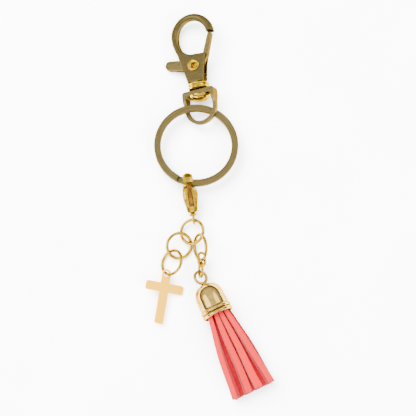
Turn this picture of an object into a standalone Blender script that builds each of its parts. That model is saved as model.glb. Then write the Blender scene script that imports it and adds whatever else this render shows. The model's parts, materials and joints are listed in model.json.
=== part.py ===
"""Bag charm on a swivel trigger hook: one object for each piece, each moving piece on its joint's axis."""

from math import cos, pi, radians, sin

import bmesh
import bpy
from mathutils import Matrix, Vector

MM = 0.001

# ---- where the assemblies lie, in millimetres and degrees ----
PLACE = (-1.05, -2.12)  # shifts everything so that the object's box stands over the origin
POST = {"at": (-3.4, 45.6, 4.6), "turn": 6.0}  # the axis that the hook swivels on
HOOK_ROLL = 18.0  # hook and loop lie on their left edges, right side up
LOOP_ROLL = 27.0
KEY_RING = {"at": (-4.2, 22.5, 4.4)}
CLASP = {"at": (-7.0, 9.0, 4.4), "turn": 8.5, "lean": -4.7}
CROSS = {"at": (-14.45, -23.4, 2.6), "turn": -8.2, "roll": 17.0, "pitch": 2.5}
TASSEL = {"at": (3.65, -38.2, 5.5), "turn": 25.3, "pitch": -3.0}

# ---- trigger hook ----
BODY_HALF = 2.5
ARM_HALF = 1.7
SLOT_HALF = 1.3
LEVER_HALF = 1.05
EYE_OUTER = {"centre": (-0.17, 18.2), "radii": (8.07, 8.3)}
EYE_INNER = {"centre": (-0.3, 17.3), "radii": (5.5, 6.75)}
PIVOT = (-0.4, 6.3)
RIVET_BORE = 1.0
RIVET_SHANK = 1.5
RIVET_HEAD = 2.15
LEVER_HUB = 2.75
GATE_TIP = 18.12
THUMB_TIP = (-9.9, 8.4)
POST_RADIUS = 1.2
POST_HEAD = 1.9

# ---- D-shaped loop, washer and key ring ----
LOOP_HALF_WIDTH = 6.3
LOOP_BAR = (-2.6, -4.5)  # top and bottom of the bar along the post
LOOP_LENGTH = 15.4
LOOP_STRAP = 1.35
LOOP_BAR_HALF = 1.85
LOOP_WIRE_HALF = 0.75
WASHER_RADIUS = 3.8
KEY_RING_RADIUS = 13.8
KEY_RING_BAND = 2.4
KEY_RING_COIL = 1.0
KEY_RING_GAP = 0.12
KEY_RING_END = 242.0  # degrees round the ring, where the upper coil is cut

# ---- lobster clasp ----
CLASP_HALF = 1.7
CLASP_SLOT_HALF = 0.8
CLASP_LEVER_HALF = 0.6
CLASP_PIVOT = (2.75, -3.6)
CLASP_PIN = 0.4
CLASP_EYE = {"below": 13.3, "radius": 1.5, "wire": 0.5}

# ---- jump rings and chain links: centre, height gained to the right and away, centreline radius ----
RING_WIRE = 0.5
JUMP_RINGS = {
    "ring_on_clasp": {"at": (-5.56, -8.56, 2.99), "slope": (0.41, 0.02), "radius": 4.2},
    "ring_middle": {"at": (-10.09, -13.47, 2.59), "slope": (-0.39, 0.34), "radius": 4.45},
    "ring_for_cross": {"at": (-12.63, -19.52, 3.34), "slope": (0.83, -0.19), "radius": 4.35},
    "ring_for_tassel": {"at": (-2.64, -14.37, 4.52), "slope": (2.03, 0.32), "radius": 4.45},
}
RING_CUT = 0.16  # the saw cut that each ring is opened by
RING_CUT_AT = 35.0
LINK_WIRE = 0.4
LINK_BEND = 1.25
LINKS = {
    "chain_link_upper": {"at": (-2.15, -18.6, 4.3), "roll": 26.0, "half_length": 2.3},
    "chain_link_lower": {"at": (-2.5, -22.35, 4.33), "roll": -64.0, "half_length": 2.5},
}

# ---- cross charm ----
CROSS_BAR = 3.2
CROSS_FOOT = 17.6  # from the middle of the hole to the foot
CROSS_SPAN = 13.5
CROSS_ARMS = 4.9  # from the middle of the hole to the middle of the arms
CROSS_HALF = 0.4
CROSS_HOLE = 1.06
CROSS_CORNER = 0.7

# ---- tassel ----
CAP_LENGTH = 11.6
CAP_RIM = 5.45
CAP_NECK = 5.0
CAP_HOLE = 0.8
EYE_RADIUS = 2.2
EYE_WIRE = 0.55
EYE_ABOVE = 2.9  # from the cap's crown to the middle of the eye
EYE_ROLL = 26.0
STRAND_LENGTH = 28.8
STRAND_TUCK = 4.0
# rows of strands: height, spacing, width and thickness where they leave the cap and at their cut ends,
# and where each strand lies across the row, in spacings
STRAND_ROWS = {
    "front": {
        "mouth": (2.15, 1.7, 1.4, 1.15),
        "end": (-1.8, 4.05, 3.0, 1.35),
        "places": (-1.5, -0.5, 0.5, 1.5),
    },
    "middle": {
        "mouth": (0.0, 2.05, 1.45, 1.15),
        "end": (-4.0, 4.05, 3.0, 1.35),
        "places": (-1.0, 0.0, 1.0, 1.78),
    },
    "back": {
        "mouth": (-2.15, 1.7, 1.4, 1.15),
        "end": (-6.2, 4.05, 3.0, 1.35),
        "places": (-1.5, -0.5, 0.5, 1.5),
    },
}

PARTS = "bag_charm"
CUTTERS = "cutters"


def clear_scene():
    for thing in list(bpy.data.objects):
        bpy.data.objects.remove(thing, do_unlink=True)
    for name in (PARTS, CUTTERS):
        folder = bpy.data.collections.new(name)
        bpy.context.scene.collection.children.link(folder)
    bpy.data.collections[CUTTERS].hide_render = True


def finish(name, colour, roughness, metallic):
    made = bpy.data.materials.new(name)
    made.use_nodes = True
    shader = made.node_tree.nodes["Principled BSDF"]
    shader.inputs["Base Color"].default_value = (*colour, 1.0)
    shader.inputs["Roughness"].default_value = roughness
    shader.inputs["Metallic"].default_value = metallic
    return made


def frame(name, at, turn=0.0, roll=0.0, pitch=0.0, parent=None):
    """An empty that pieces are built on: turned about Z, then rolled about its Y, then pitched about X."""
    empty = bpy.data.objects.new(name, None)
    bpy.data.collections[PARTS].objects.link(empty)
    empty.location = Vector(at) * MM
    empty.rotation_euler = (radians(pitch), radians(roll), radians(turn))
    empty.parent = parent
    return empty


def piece(name, mesh, material, parent, at=(0.0, 0.0, 0.0), folder=PARTS):
    """A finished mesh, in metres round its own origin, as an object at a place in its parent's frame."""
    made = bpy.data.objects.new(name, mesh)
    bpy.data.collections[folder].objects.link(made)
    made.location = Vector(at) * MM
    made.parent = parent
    if material:
        mesh.materials.clear()
        mesh.materials.append(material)
    else:
        made.display_type = "WIRE"
        made.hide_render = True
    return made


def mesh_of_curve(curve, merge=0.002):
    """A curve's mesh with its caps welded on."""
    holder = bpy.data.objects.new("holder", curve)
    bpy.context.scene.collection.objects.link(holder)
    evaluated = holder.evaluated_get(bpy.context.evaluated_depsgraph_get())
    mesh = bpy.data.meshes.new_from_object(evaluated)
    bpy.data.objects.remove(holder, do_unlink=True)
    shape = bmesh.new()
    shape.from_mesh(mesh)
    bmesh.ops.remove_doubles(shape, verts=shape.verts, dist=merge * MM)
    bmesh.ops.recalc_face_normals(shape, faces=shape.faces)
    shape.to_mesh(mesh)
    shape.free()
    return mesh


def plate(outline, half, edge, drop=0.0):
    """A flat outline in millimetres, both sides of its plane, with softened edges; drop lowers it."""
    curve = bpy.data.curves.new("plate", "CURVE")
    curve.dimensions = "2D"
    curve.fill_mode = "BOTH"
    spline = curve.splines.new("POLY")
    spline.points.add(len(outline) - 1)
    for point, (x, y) in zip(spline.points, outline):
        point.co = (x * MM, y * MM, 0.0, 1.0)
    spline.use_cyclic_u = True
    curve.extrude = (half - edge) * MM
    curve.bevel_depth = edge * MM
    curve.bevel_resolution = 1
    curve.offset = -edge * MM
    mesh = mesh_of_curve(curve)
    mesh.transform(Matrix.Translation((0.0, 0.0, -drop * MM)))
    return mesh


def wire(points, radius, closed=False, resolution=2):
    """A round wire through points in millimetres."""
    curve = bpy.data.curves.new("wire", "CURVE")
    curve.dimensions = "3D"
    spline = curve.splines.new("POLY")
    spline.points.add(len(points) - 1)
    for point, place in zip(spline.points, points):
        point.co = (*(Vector(place) * MM), 1.0)
    spline.use_cyclic_u = closed
    curve.bevel_depth = radius * MM
    curve.bevel_resolution = resolution
    curve.use_fill_caps = not closed
    return mesh_of_curve(curve)


def turned(profile, steps=32):
    """A closed profile of (radius, height) in millimetres, turned round Z."""
    shape = bmesh.new()
    corners = [shape.verts.new((r * MM, 0.0, h * MM)) for r, h in profile]
    edges = [shape.edges.new((a, b)) for a, b in zip(corners, corners[1:] + corners[:1])]
    bmesh.ops.spin(
        shape,
        geom=corners + edges,
        axis=(0.0, 0.0, 1.0),
        cent=(0.0, 0.0, 0.0),
        angle=2.0 * pi,
        steps=steps,
        use_merge=True,
    )
    bmesh.ops.remove_doubles(shape, verts=shape.verts, dist=0.001 * MM)
    bmesh.ops.recalc_face_normals(shape, faces=shape.faces)
    mesh = bpy.data.meshes.new("turned")
    shape.to_mesh(mesh)
    shape.free()
    return mesh


def rod(radius, length, sides=24):
    """A cylinder along Z, centred."""
    shape = bmesh.new()
    bmesh.ops.create_cone(
        shape,
        cap_ends=True,
        segments=sides,
        radius1=radius * MM,
        radius2=radius * MM,
        depth=length * MM,
    )
    mesh = bpy.data.meshes.new("rod")
    shape.to_mesh(mesh)
    shape.free()
    return mesh


def block(width, height, depth):
    shape = bmesh.new()
    bmesh.ops.create_cube(shape, size=1.0)
    bmesh.ops.scale(shape, vec=(width * MM, height * MM, depth * MM), verts=shape.verts)
    mesh = bpy.data.meshes.new("block")
    shape.to_mesh(mesh)
    shape.free()
    return mesh


def moved(mesh, at=(0.0, 0.0, 0.0), turn=None):
    """The mesh turned by (degrees, axis) and then put at a place."""
    place = Matrix.Translation(Vector(at) * MM)
    if turn:
        place = place @ Matrix.Rotation(radians(turn[0]), 4, turn[1])
    mesh.transform(place)
    return mesh


def combine(made, operation, name, mesh, solver="EXACT"):
    """Joins a mesh to a piece, or cuts it out, by a Boolean with an object in the cutters' folder."""
    tool = piece(name, mesh, None, made.parent, [c / MM for c in made.location], CUTTERS)
    step = made.modifiers.new(name, "BOOLEAN")
    step.operation = operation
    step.solver = solver
    step.object = tool


def arc(centre, radii, start, end, steps):
    """Points of an ellipse in millimetres, from one angle to another, both included."""
    angles = [radians(start + (end - start) * i / steps) for i in range(steps + 1)]
    return [(centre[0] + radii[0] * cos(a), centre[1] + radii[1] * sin(a)) for a in angles]


def shifted(points, by):
    return [(x - by[0], y - by[1]) for x, y in points]


def loft(outlines):
    """Skins between like outlines, each a list of corners in millimetres, with both ends closed."""
    shape = bmesh.new()
    rings = [[shape.verts.new(Vector(corner) * MM) for corner in ring] for ring in outlines]
    for near, far in zip(rings, rings[1:]):
        for i in range(len(near)):
            j = (i + 1) % len(near)
            shape.faces.new((near[i], near[j], far[j], far[i]))
    shape.faces.new(list(reversed(rings[0])))
    shape.faces.new(rings[-1])
    bmesh.ops.recalc_face_normals(shape, faces=shape.faces)
    mesh = bpy.data.meshes.new("loft")
    shape.to_mesh(mesh)
    shape.free()
    return mesh


# ---------------------------------------------------------------- trigger hook
def make_hook_body(material, on):
    claw = arc(**EYE_OUTER, start=3, end=187, steps=26)
    claw += [(-7.6, 14.0), (-6.0, 10.0), (2.5, 9.8)]
    claw += arc(**EYE_INNER, start=286, end=15, steps=34)
    made = piece("hook_body", plate(claw, ARM_HALF, 0.45), material, on)
    base = [(-3.35, 0.0), (2.6, 0.0), (3.4, 7.6), (3.0, 9.2), (1.0, 10.5), (-0.7, 10.45), (-3.0, 11.2)]
    base += [(-4.6, 12.6), (-6.9, 12.8), (-6.25, 11.2)]
    combine(made, "UNION", "hook_base", plate(base, BODY_HALF, 0.5))
    slot = [(-13, 3.9), (-3.4, 3.9), (-2.2, 3.3), (9, 3.3), (9, 13.5), (-4.2, 13.5), (-4.2, 12.2)]
    slot += [(-5.2, 11.3), (-13, 11.0)]
    combine(made, "DIFFERENCE", "lever_slot", plate(slot, SLOT_HALF, 0.05))
    combine(made, "DIFFERENCE", "rivet_hole", moved(rod(RIVET_SHANK + 0.15, 8), (*PIVOT, 0)))
    combine(made, "DIFFERENCE", "spring_pocket", moved(rod(2.6, 1.2), (*PIVOT, -1.7)))
    combine(made, "DIFFERENCE", "post_hole", moved(rod(POST_RADIUS + 0.2, 4), (0, 0, 0), (90, "X")))
    combine(made, "DIFFERENCE", "post_room", moved(rod(POST_HEAD + 0.2, 2.6), (0, 2.6, 0), (90, "X")))


def make_gate(material, on):
    """The lever: a thumb tab, a hub round the rivet and the bar that closes the eye."""
    hub = arc(PIVOT, (LEVER_HUB, LEVER_HUB), 215, 330, 10)
    bar = [(3.4, 7.6), (4.75, 9.3), (7.2, GATE_TIP - 0.5), (6.75, GATE_TIP), (5.75, GATE_TIP)]
    back = [(5.45, 17.6), (2.7, 9.9), (1.2, 8.9)]
    tab = [(-2.2, 9.0), (-6.0, 9.6), *arc(THUMB_TIP, (1.7, 1.75), 95, 265, 8), (-4.4, 5.4)]
    outline = shifted(hub + bar + back + tab, PIVOT)
    made = piece("hook_gate", plate(outline, LEVER_HALF, 0.2), material, on)
    combine(made, "DIFFERENCE", "gate_bore", rod(RIVET_SHANK + 0.15, 4))


def make_rivet(material, on):
    """A hollow rivet with rolled heads over both cheeks."""
    face = BODY_HALF + 0.12
    top = face + 0.35
    profile = [(RIVET_BORE, -top), (RIVET_HEAD - 0.3, -top), (RIVET_HEAD, -top + 0.2), (RIVET_HEAD, -face)]
    profile += [(RIVET_SHANK, -face), (RIVET_SHANK, face)]
    profile += [(RIVET_HEAD, face), (RIVET_HEAD, top - 0.2), (RIVET_HEAD - 0.3, top), (RIVET_BORE, top)]
    piece("pivot_rivet", turned(profile, 24), material, on, (*PIVOT, 0))


def make_gate_spring(material, on):
    """Two turns of spring wire round the rivet, in the rear cheek's pocket."""
    turns, radius, rise = 1.5, 2.05, 0.38
    steps = 40
    points = []
    for i in range(steps + 1):
        angle = 2 * pi * turns * i / steps
        points.append((radius * cos(angle), radius * sin(angle), rise * turns * (i / steps - 0.5)))
    piece("gate_spring", wire(points, 0.14, resolution=1), material, on, (*PIVOT, -1.76))


def make_post(material, on):
    """The swivel post: a head inside the hook, a shank, and a domed head inside the loop's bar."""
    bar_low = LOOP_BAR[1] - 0.15
    profile = [(0, 2.5), (POST_HEAD, 2.5), (POST_HEAD, 1.6), (POST_RADIUS, 1.6), (POST_RADIUS, bar_low)]
    profile += [(3.1, bar_low), (2.9, bar_low - 0.7), (2.2, bar_low - 1.3), (1.1, bar_low - 1.65)]
    profile += [(0, bar_low - 1.75)]
    piece("swivel_post", moved(turned(profile, 24), turn=(-90, "X")), material, on)


def make_washer(material, on):
    """The grooved collar between hook and loop."""
    inner = POST_RADIUS + 0.2
    profile = [(inner, -0.2), (WASHER_RADIUS - 0.2, -0.2), (WASHER_RADIUS, -0.4), (WASHER_RADIUS, -0.9)]
    profile += [(WASHER_RADIUS - 0.35, -1.1), (WASHER_RADIUS - 0.35, -1.4), (WASHER_RADIUS, -1.6)]
    profile += [(WASHER_RADIUS, -2.1), (WASHER_RADIUS - 0.25, -2.4), (inner, -2.4)]
    piece("swivel_collar", moved(turned(profile, 32), turn=(-90, "X")), material, on)


def make_loop(material, on):
    """A D of flat strap, deep at its bar and thin at its bow, with a hole for the post."""
    wide = LOOP_HALF_WIDTH
    top, low = LOOP_BAR
    bow = (0.0, wide - LOOP_LENGTH)
    outside = [(wide - 0.6, top), (-wide + 0.6, top), (-wide, top - 0.8)]
    outside += arc(bow, (wide, wide), 180, 360, 24) + [(wide, top - 0.8)]
    within = wide - LOOP_STRAP
    inside = [(within - 0.5, low), (-within + 0.5, low), (-within, low - 0.6)]
    inside += arc(bow, (within, within), 180, 360, 24) + [(within, low - 0.6)]
    made = piece("d_loop", plate(outside, LOOP_BAR_HALF, 0.2), material, on)
    combine(made, "DIFFERENCE", "loop_inside", plate(inside, LOOP_BAR_HALF + 1, 0.05))
    taper = [(low - 0.4, LOOP_BAR_HALF + 0.5), (-8.2, LOOP_WIRE_HALF), (-17, LOOP_WIRE_HALF)]
    upper = [(y, z) for y, z in taper] + [(-17, 4), (low - 0.4, 4)]
    for name, side in (("loop_front_taper", 1), ("loop_rear_taper", -1)):
        rings = [[(x, y, side * z) for y, z in upper] for x in (-9, 9)]
        combine(made, "DIFFERENCE", name, loft(rings))
    combine(made, "DIFFERENCE", "loop_bore", moved(rod(POST_RADIUS + 0.2, 4), (0, top - 1, 0), (90, "X")))


# ---------------------------------------------------------------- key ring
def make_key_ring(material, on):
    """Two flat coils of one strip, which steps down beside its cut end."""
    half_band, half_coil = KEY_RING_BAND / 2, KEY_RING_COIL / 2
    level = (KEY_RING_COIL + KEY_RING_GAP) / 2
    step_at, step_over, total = 338.0, 26.0, 698.0
    chamfer = 0.2
    section = [(-half_band + chamfer, -half_coil), (half_band - chamfer, -half_coil)]
    section += [(half_band, -half_coil + chamfer), (half_band, half_coil - chamfer)]
    section += [(half_band - chamfer, half_coil), (-half_band + chamfer, half_coil)]
    section += [(-half_band, half_coil - chamfer), (-half_band, -half_coil + chamfer)]
    stations = 132
    rings = []
    for i in range(stations + 1):
        gone = total * i / stations
        share = min(1.0, max(0.0, (gone - step_at) / step_over))
        height = level * cos(pi * share)
        angle = radians(KEY_RING_END - gone)
        rings.append(
            [
                ((KEY_RING_RADIUS + r) * cos(angle), (KEY_RING_RADIUS + r) * sin(angle), height + h)
                for r, h in section
            ]
        )
    piece("split_ring", loft(rings), material, on)


# ---------------------------------------------------------------- lobster clasp
# Built in a frame that is turned on its side: x is the clasp's height, y runs away from its eye.
def make_clasp_body(material, on):
    nose = [(3.45, -0.55), (3.15, 1.35), (2.1, 2.85), (0.15, 3.45), (-1.85, 3.0), (-3.1, 1.6)]
    spine = [(-3.6, -0.6), (-4.0, -3.2), (-3.7, -6.4), (-2.7, -9.2), (-1.4, -11.0)]
    cheek = [(1.4, -11.0), (2.5, -9.4), (3.5, -6.4), (3.9, -3.6), (3.75, -2.6)]
    inside = [(2.2, -2.6), (1.7, -3.4), (0.4, -4.2), (-1.1, -3.9), (-2.1, -2.6), (-2.45, -0.9)]
    inside += [(-2.3, 1.1), (-1.45, 2.1), (0.1, 2.45), (1.6, 2.05), (2.3, 1.0), (2.35, -0.55)]
    made = piece("clasp_body", plate(nose + spine + cheek + inside, CLASP_HALF, 0.35), material, on)
    combine(made, "UNION", "clasp_neck", moved(rod(0.8, 2.4, 16), (0, -11.1, 0), (90, "X")))
    radius = CLASP_EYE["radius"]
    angles = [2 * pi * i / 24 for i in range(24)]
    circle = [(radius * cos(a), radius * sin(a) - CLASP_EYE["below"], 0) for a in angles]
    combine(made, "UNION", "clasp_eye", wire(circle, CLASP_EYE["wire"], closed=True))
    slot = [(0.9, -0.7), (5, -0.7), (5, -9.4), (0.9, -9.4)]
    combine(made, "DIFFERENCE", "clasp_slot", plate(slot, CLASP_SLOT_HALF, 0.05))
    window = moved(block(9, 0.9, 1.5 * CLASP_SLOT_HALF), (0, -9.0, 0))
    combine(made, "DIFFERENCE", "clasp_window", window)
    combine(made, "DIFFERENCE", "clasp_pin_hole", moved(rod(CLASP_PIN + 0.12, 6, 16), (*CLASP_PIVOT, 0)))


def make_clasp_lever(material, on):
    gate = [(3.9, -2.2), (3.35, -0.8), (2.4, -0.8), (1.95, -2.6), (1.75, -3.9)]
    tail = [(2.0, -5.0), (2.4, -8.0), (2.75, -8.3), (3.05, -8.0), (3.85, -6.2), (4.15, -3.6)]
    outline = shifted(gate + tail, CLASP_PIVOT)
    made = piece("clasp_lever", plate(outline, CLASP_LEVER_HALF, 0.12), material, on)
    combine(made, "DIFFERENCE", "clasp_lever_bore", rod(CLASP_PIN + 0.12, 4, 16))


def make_clasp_spring(material, on):
    """A bent leaf of wire between the slot's floor and the lever's tail."""
    bends = [(1.15, -8.1, 0), (1.12, -5.7, 0), (1.2, -5.35, 0), (1.4, -5.25, 0), (1.56, -5.5, 0)]
    piece("clasp_spring", wire([*bends, (1.85, -7.7, 0)], 0.13, resolution=1), material, on)


# ---------------------------------------------------------------- rings, links and cross
def make_jump_ring(name, size, material, parent):
    slope_x, slope_y = size["slope"]
    on = frame(name + "_frame", size["at"], parent=parent)
    on.rotation_mode = "QUATERNION"
    upright = Vector((0.0, 0.0, 1.0))
    on.rotation_quaternion = upright.rotation_difference(Vector((-slope_x, -slope_y, 1.0)))
    radius, steps = size["radius"], 44
    cut = RING_CUT / radius / 2
    start = radians(RING_CUT_AT) + cut
    points = []
    for i in range(steps + 1):
        angle = start + (2 * pi - 2 * cut) * i / steps
        points.append((radius * cos(angle), radius * sin(angle), 0.0))
    piece(name, wire(points, RING_WIRE), material, on)


def make_link(name, size, material, parent):
    on = frame(name + "_frame", size["at"], roll=size["roll"], parent=parent)
    straight = size["half_length"] - LINK_BEND
    bend = (LINK_BEND, LINK_BEND)
    path = arc((0, straight), bend, 0, 180, 10) + arc((0, -straight), bend, 180, 360, 10)
    piece(name, wire([(x, y, 0) for x, y in path], LINK_WIRE, closed=True), material, on)


def make_cross(material, on):
    half, arms, reach = CROSS_BAR / 2, CROSS_ARMS, CROSS_SPAN / 2
    top = arc((0, 0), (half, half), 0, 180, 12)
    turn, drop = CROSS_CORNER, half - CROSS_CORNER
    left = [(-half, half - arms)] + arc((turn - reach, drop - arms), (turn, turn), 90, 180, 5)
    left += arc((turn - reach, -drop - arms), (turn, turn), 180, 270, 5) + [(-half, -half - arms)]
    foot = arc((-drop, turn - CROSS_FOOT), (turn, turn), 180, 270, 5)
    foot += arc((drop, turn - CROSS_FOOT), (turn, turn), 270, 360, 5)
    right = [(-x, y) for x, y in reversed(left)]
    made = piece("cross_charm", plate(top + left + foot + right, CROSS_HALF, 0.15), material, on)
    combine(made, "DIFFERENCE", "cross_hole", rod(CROSS_HOLE, 3), "MANIFOLD")


# ---------------------------------------------------------------- tassel
# Its frame stands at the cap's mouth, with y up through the crown; turned pieces are laid on y.
def make_cap(material, on):
    rim, neck, top = CAP_RIM, CAP_NECK, CAP_LENGTH
    outside = [(rim - 0.15, 0), (rim, 0.2), (rim, 1.0), (rim - 0.45, 1.2), (rim - 0.45, 1.5)]
    outside += [(rim - 0.2, 1.7), (rim - 0.2, 2.4), (neck - 0.3, 2.6), (neck - 0.3, 2.9), (neck, 3.1)]
    crown = [(neck, top - 4.8), (neck - 0.3, top - 3.0), (neck - 1.0, top - 1.5), (neck - 2.1, top - 0.5)]
    crown += [(neck - 3.4, top - 0.05), (CAP_HOLE, top)]
    lining = [(CAP_HOLE, top - 0.6), (2.4, top - 0.9), (3.4, top - 1.7), (4.2, top - 3.0)]
    lining += [(4.5, top - 4.6), (4.5, 3.0), (4.6, 0.4), (4.85, 0)]
    piece("tassel_cap", moved(turned(outside + crown + lining, 36), turn=(-90, "X")), material, on)


def make_eye(material, on):
    """A wire eye whose tail goes through the crown into a stop inside the cap."""
    middle = CAP_LENGTH + EYE_ABOVE
    points = [(0, CAP_LENGTH - 1.9, 0), (0, middle - EYE_RADIUS - 0.5, 0)]
    for i in range(1, 34):
        angle = radians(-90 + 350 * i / 33)
        points.append((EYE_RADIUS * cos(angle), middle + EYE_RADIUS * sin(angle), 0))
    mesh = wire(points, EYE_WIRE)
    mesh.transform(Matrix.Rotation(radians(EYE_ROLL), 4, "Y"))
    piece("cap_eye", mesh, material, on)


def make_stop(material, on):
    low, high = CAP_LENGTH - 1.7, CAP_LENGTH - 1.05
    bore = EYE_WIRE + 0.12
    profile = [(bore, low), (1.5, low), (1.7, low + 0.2), (1.7, high - 0.2), (1.5, high), (bore, high)]
    piece("eye_stop", moved(turned(profile, 20), turn=(-90, "X")), material, on)


def make_core(material, on):
    """The glued plug that holds the strands' tucked ends."""
    low, high = STRAND_TUCK + 0.3, CAP_LENGTH - 2.6
    profile = [(0, low), (3.8, low), (3.9, low + 0.3), (3.6, high - 0.6), (3.0, high), (0, high)]
    piece("tassel_core", moved(turned(profile, 20), turn=(-90, "X")), material, on)


def make_strands(material, on):
    corners = ((-1, -1), (1, -1), (1, 1), (-1, 1))
    for name, row in STRAND_ROWS.items():
        for number, place in enumerate(row["places"], 1):
            outlines = []
            for along in (STRAND_TUCK, 0.0, -STRAND_LENGTH):
                share = -along / STRAND_LENGTH
                height, pitch, width, thick = (
                    a + (b - a) * share for a, b in zip(row["mouth"], row["end"])
                )
                outlines.append(
                    [(place * pitch + u * width / 2, along, height + v * thick / 2) for u, v in corners]
                )
            piece(f"strand_{name}_{number}", loft(outlines), material, on)


def main():
    clear_scene()
    brushed = finish("brushed_gold", (0.62, 0.5, 0.25), 0.38, 1.0)
    polished = finish("polished_gold", (0.8, 0.6, 0.22), 0.15, 1.0)
    pale = finish("pale_gold", (0.9, 0.72, 0.42), 0.45, 1.0)
    steel = finish("spring_steel", (0.6, 0.6, 0.6), 0.3, 1.0)
    suede = finish("coral_suede", (0.92, 0.33, 0.31), 0.9, 0.0)
    glue = finish("glue", (0.7, 0.62, 0.45), 0.5, 0.0)
    whole = frame("bag_charm_place", (*PLACE, 0.0))

    loop_frame = frame("loop_frame", POST["at"], POST["turn"], -LOOP_ROLL, parent=whole)
    make_loop(brushed, loop_frame)
    make_post(polished, loop_frame)
    make_washer(brushed, loop_frame)

    hook_frame = frame("hook_frame", POST["at"], POST["turn"], -HOOK_ROLL, parent=whole)
    make_hook_body(brushed, hook_frame)
    make_gate(brushed, frame("gate_frame", (*PIVOT, 0), parent=hook_frame))
    make_rivet(polished, hook_frame)
    make_gate_spring(steel, hook_frame)

    make_key_ring(brushed, frame("key_ring_frame", KEY_RING["at"], parent=whole))

    clasp_turned = frame("clasp_turned", CLASP["at"], CLASP["turn"], -90.0, parent=whole)
    clasp_frame = frame("clasp_frame", (0, 0, 0), CLASP["lean"], parent=clasp_turned)
    make_clasp_body(polished, clasp_frame)
    make_clasp_lever(polished, frame("lever_frame", (*CLASP_PIVOT, 0), parent=clasp_frame))
    piece("clasp_pin", rod(CLASP_PIN, 2 * CLASP_HALF - 0.1, 16), polished, clasp_frame, (*CLASP_PIVOT, 0))
    make_clasp_spring(steel, clasp_frame)

    for name, size in JUMP_RINGS.items():
        make_jump_ring(name, size, polished, whole)
    for name, size in LINKS.items():
        make_link(name, size, polished, whole)
    cross_frame = frame("cross_frame", CROSS["at"], CROSS["turn"], CROSS["roll"], CROSS["pitch"], whole)
    make_cross(pale, cross_frame)

    tassel = frame("tassel_frame", TASSEL["at"], TASSEL["turn"], 0.0, TASSEL["pitch"], whole)
    make_cap(polished, tassel)
    make_eye(polished, tassel)
    make_stop(polished, tassel)
    make_core(glue, tassel)
    make_strands(suede, tassel)


main()
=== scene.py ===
"""Bag charm on a swivel trigger hook: the finished surfaces, the stage and the camera."""

import json
from math import atan2, copysign, cos, exp, pi, radians, sin

import bmesh
import bpy
from mathutils import Euler, Matrix, Vector


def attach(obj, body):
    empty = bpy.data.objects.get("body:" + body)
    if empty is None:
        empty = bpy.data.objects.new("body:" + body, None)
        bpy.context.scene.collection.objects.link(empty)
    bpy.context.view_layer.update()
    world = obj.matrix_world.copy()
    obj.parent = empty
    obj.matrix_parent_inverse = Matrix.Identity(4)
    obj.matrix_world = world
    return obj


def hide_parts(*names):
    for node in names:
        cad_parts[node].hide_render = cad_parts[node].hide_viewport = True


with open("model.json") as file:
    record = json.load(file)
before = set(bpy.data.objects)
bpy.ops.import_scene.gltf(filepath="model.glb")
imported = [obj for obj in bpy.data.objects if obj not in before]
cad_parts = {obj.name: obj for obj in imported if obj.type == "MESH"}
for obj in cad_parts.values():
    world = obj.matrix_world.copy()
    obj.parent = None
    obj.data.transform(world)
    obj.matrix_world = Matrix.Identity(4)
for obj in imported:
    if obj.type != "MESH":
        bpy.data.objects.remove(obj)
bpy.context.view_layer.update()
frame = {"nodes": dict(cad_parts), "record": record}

bl_info = {
    "name": "Bag charm",
    "version": (1, 0, 0),
    "blender": (4, 5, 0),
    "location": "View3D > Sidebar > Bag charm",
    "description": "Builds the visible pieces of a bag charm on its trigger hook",
    "category": "Object",
}

MM = 0.001
TURNED_TO_Y = Matrix.Rotation(radians(-90.0), 4, "X")  # lays a turned piece along its frame's y

# ---- how the assemblies lie, in millimetres and degrees ----
POST_AT = (-3.4, 45.6, 4.6)
POST_TURN = 6.0
HOOK_ROLL = -18.0
LOOP_ROLL = -27.0
KEY_RING_AT = (-4.2, 22.5, 4.4)
JOINTS = {joint["name"]: joint for joint in frame["record"]["behaviour"]["joints"]}
PLACE = Vector(JOINTS["loop_round_key_ring"]["pos_m"]) / MM - Vector(KEY_RING_AT)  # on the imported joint
JUMP_RINGS = {
    "ring_on_clasp": {"at": (-5.56, -8.56, 2.99), "slope": (0.41, 0.02), "radius": 4.2},
    "ring_middle": {"at": (-10.09, -13.47, 2.59), "slope": (-0.39, 0.34), "radius": 4.45},
    "ring_for_cross": {"at": (-12.63, -19.52, 3.34), "slope": (0.83, -0.19), "radius": 4.35},
    "ring_for_tassel": {"at": (-2.64, -14.37, 4.52), "slope": (2.03, 0.32), "radius": 4.45},
}
LINKS = {
    "chain_link_upper": {
        "at": (-2.15, -18.6, 4.3),
        "roll": 26.0,
        "half_length": 2.3,
        "body": "upper_link",
    },
    "chain_link_lower": {
        "at": (-2.5, -22.35, 4.33),
        "roll": -64.0,
        "half_length": 2.5,
        "body": "lower_link",
    },
}
LINK_BEND = 1.25
RIVET_AT = (-0.4, 6.3, 0.0)
CAP_LENGTH = 11.6
EYE_ABOVE = 2.9
EYE_ROLL = 26.0

# ---- strands: height, spacing, width and thickness where they leave the cap and at their cut ends ----
STRAND_TUCK = 4.0
STRAND_STATIONS = 26
STRAND_ROWS = {
    "front": {
        "mouth": (2.1, 1.7, 1.5, 1.1),
        "end": (-1.7, 3.68, 2.62, 1.7),
        "places": (-1.85, -0.53, 0.5, 1.6),
        "rolls": (44.0, -26.0, -4.0, -28.0),
    },
    "middle": {
        "mouth": (0.0, 2.05, 1.5, 1.1),
        "end": (-4.0, 3.65, 2.7, 1.35),
        "places": (-1.15, 0.0, 1.0, 1.78),
        "rolls": (-14.0, 8.0, 10.0, -30.0),
    },
    "back": {
        "mouth": (-2.1, 1.86, 1.78, 1.1),
        "end": (-6.2, 3.6, 3.0, 1.35),
        "places": (-1.5, -0.5, 0.5, 1.5),
        "rolls": (14.0, -10.0, 12.0, -14.0),
    },
}


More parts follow.
